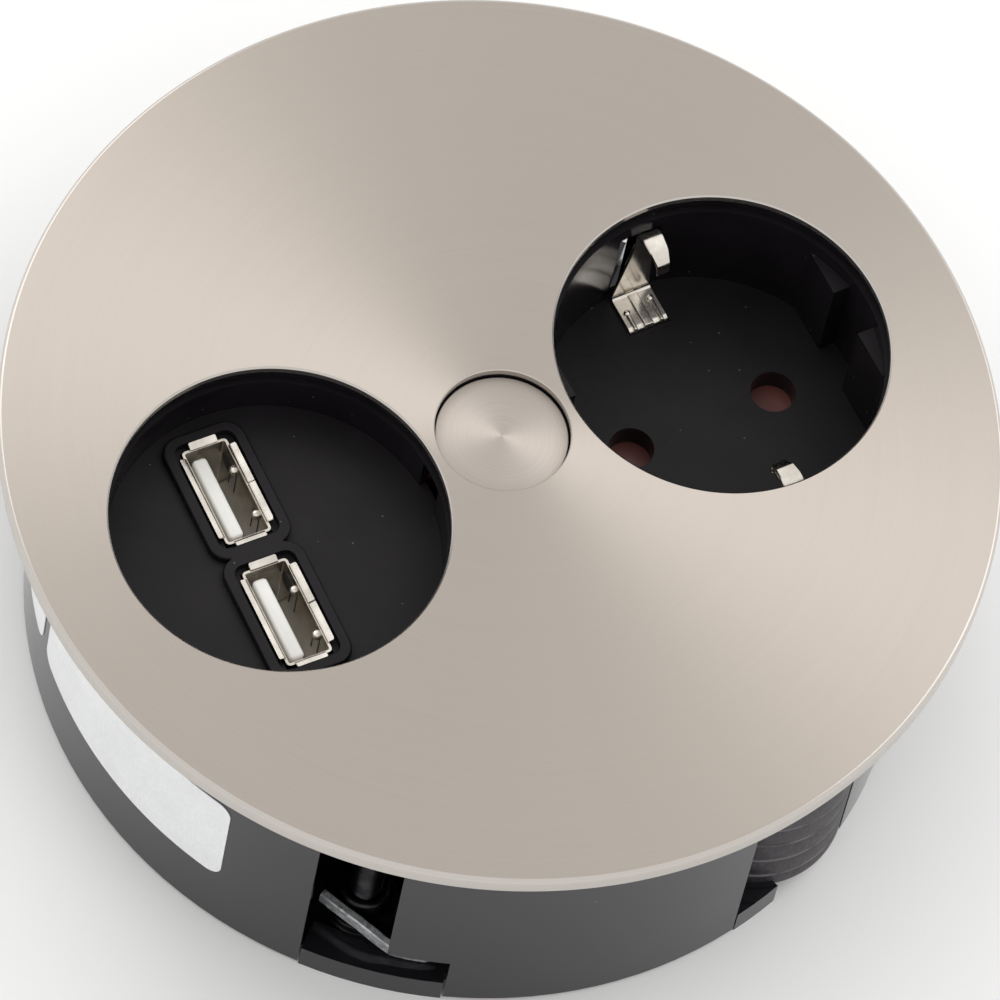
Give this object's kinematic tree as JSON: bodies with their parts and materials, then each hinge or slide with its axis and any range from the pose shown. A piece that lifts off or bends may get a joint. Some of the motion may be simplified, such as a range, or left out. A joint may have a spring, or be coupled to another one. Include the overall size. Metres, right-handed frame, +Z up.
{
  "type": "recessed desk socket",
  "caption": "Round desk-top power unit with an earthed mains well and a charger well under a rotating brushed steel cover plate.",
  "frame": {"origin": "on the axis of the round body, at the level of the desk surface (the flange's underside)", "axes": "+Z up out of the desk, +X from the charger well to the mains well"},
  "size_m": [0.117, 0.117, 0.0424],
  "materials": {
    "brushed_plate": "fine circular brushing, satin",
    "polished_cap": "spun disc, fine rings",
    "gloss_black": "glossy black moulding",
    "matte_black": "fine eroded moulding",
    "nickel": "bright nickel plate",
    "galvanised": "bright zinc plate",
    "screw_steel": "zinc plated",
    "brass": "pressed brass",
    "shutter_red": "red-brown moulding",
    "tongue_white": "smooth white moulding",
    "board_green": "solder mask",
    "component_dark": "moulded epoxy",
    "capacitor_sleeve": "shrunk sleeve",
    "terminal_grey": "pale grey moulding",
    "gland_rubber": "smooth black rubber",
    "slip_white": "low friction ring",
    "label_silver": "silver grey sticker",
    "wire_brown": "insulation",
    "wire_blue": "insulation",
    "wire_green": "insulation",
    "wire_red": "insulation"
  },
  "bodies": {
    "root": {"pivot_hub": "screw_steel", "pivot_screw": "screw_steel", "wave_washer": "nickel", "centre_cap": "polished_cap", "slip_ring": "slip_white", "housing": "gloss_black", "base_cover": "gloss_black", "base_screws": "screw_steel", "mains_insert": "matte_black", "contact_block": "matte_black", "contact_block_screws": "screw_steel", "live_contact": "brass", "neutral_contact": "brass", "earth_contact": "nickel", "shutter_pivot": "screw_steel", "shutter_spring": "nickel", "charger_bezel": "matte_black", "port_shell_1": "nickel", "port_shell_2": "nickel", "port_tongue_1": "tongue_white", "port_tongue_2": "tongue_white", "port_contacts": "brass", "charger_board": "board_green", "board_screws": "screw_steel", "transformer": "component_dark", "capacitors": "capacitor_sleeve", "charger_chips": "component_dark", "terminal_block": "terminal_grey", "terminal_screws": "screw_steel", "cable_gland": "gland_rubber", "cable_clamp": "terminal_grey", "clamp_screws": "screw_steel", "screw_clips": "screw_steel", "rating_label": "label_silver", "small_label": "label_silver", "live_wire": "wire_brown", "neutral_wire": "wire_blue", "earth_wire": "wire_green", "charger_wires": "wire_red"},
    "cover": {"cover_plate": "brushed_plate", "cover_carrier": "matte_black"},
    "shutter": {"shutter": "shutter_red"},
    "claw_screw_1": {"claw_screw_1": "screw_steel"},
    "claw_nut_1": {"claw_nut_1": "galvanised"},
    "claw_1": {"claw_1": "galvanised"},
    "claw_screw_2": {"claw_screw_2": "screw_steel"},
    "claw_nut_2": {"claw_nut_2": "galvanised"},
    "claw_2": {"claw_2": "galvanised"}
  },
  "joints": [
    {"name": "cover_turn", "type": "hinge", "parent": "root", "child": "cover", "pos_m": [0, 0, 0.001], "axis": [0, 0, 1], "range_deg": [0, 90]},
    {"name": "shutter_turn", "type": "hinge", "parent": "root", "child": "shutter", "pos_m": [0.0289, 0, -0.02], "axis": [0, 0, 1], "range_deg": [0, 36], "stiffness_Nm_per_rad": 0.002, "springref_deg": -17.19, "deforming": ["shutter_spring"]},
    {"name": "claw_turn_1", "type": "hinge", "parent": "root", "child": "claw_screw_1", "pos_m": [-0.03052, -0.03239, -0.02], "axis": [0, 0, 1], "range_deg": [0, 10286]},
    {"name": "claw_lift_1", "type": "slide", "parent": "root", "child": "claw_nut_1", "axis": [0, 0, 1], "range_m": [0, 0.02]},
    {"name": "claw_swing_1", "type": "hinge", "parent": "claw_nut_1", "child": "claw_1", "pos_m": [-0.03052, -0.03239, -0.034], "axis": [0, 0, -1], "range_deg": [0, 65]},
    {"name": "claw_turn_2", "type": "hinge", "parent": "root", "child": "claw_screw_2", "pos_m": [0.03052, 0.03239, -0.02], "axis": [0, 0, 1], "range_deg": [0, 10286]},
    {"name": "claw_lift_2", "type": "slide", "parent": "root", "child": "claw_nut_2", "axis": [0, 0, 1], "range_m": [0, 0.02]},
    {"name": "claw_swing_2", "type": "hinge", "parent": "claw_nut_2", "child": "claw_2", "pos_m": [0.03052, 0.03239, -0.034], "axis": [0, 0, -1], "range_deg": [0, 65]}
  ],
  "couplings": [
    {"joint": "claw_turn_1", "follows": "claw_lift_1", "rad_per_m": 8976},
    {"joint": "claw_turn_2", "follows": "claw_lift_2", "rad_per_m": 8976}
  ]
}
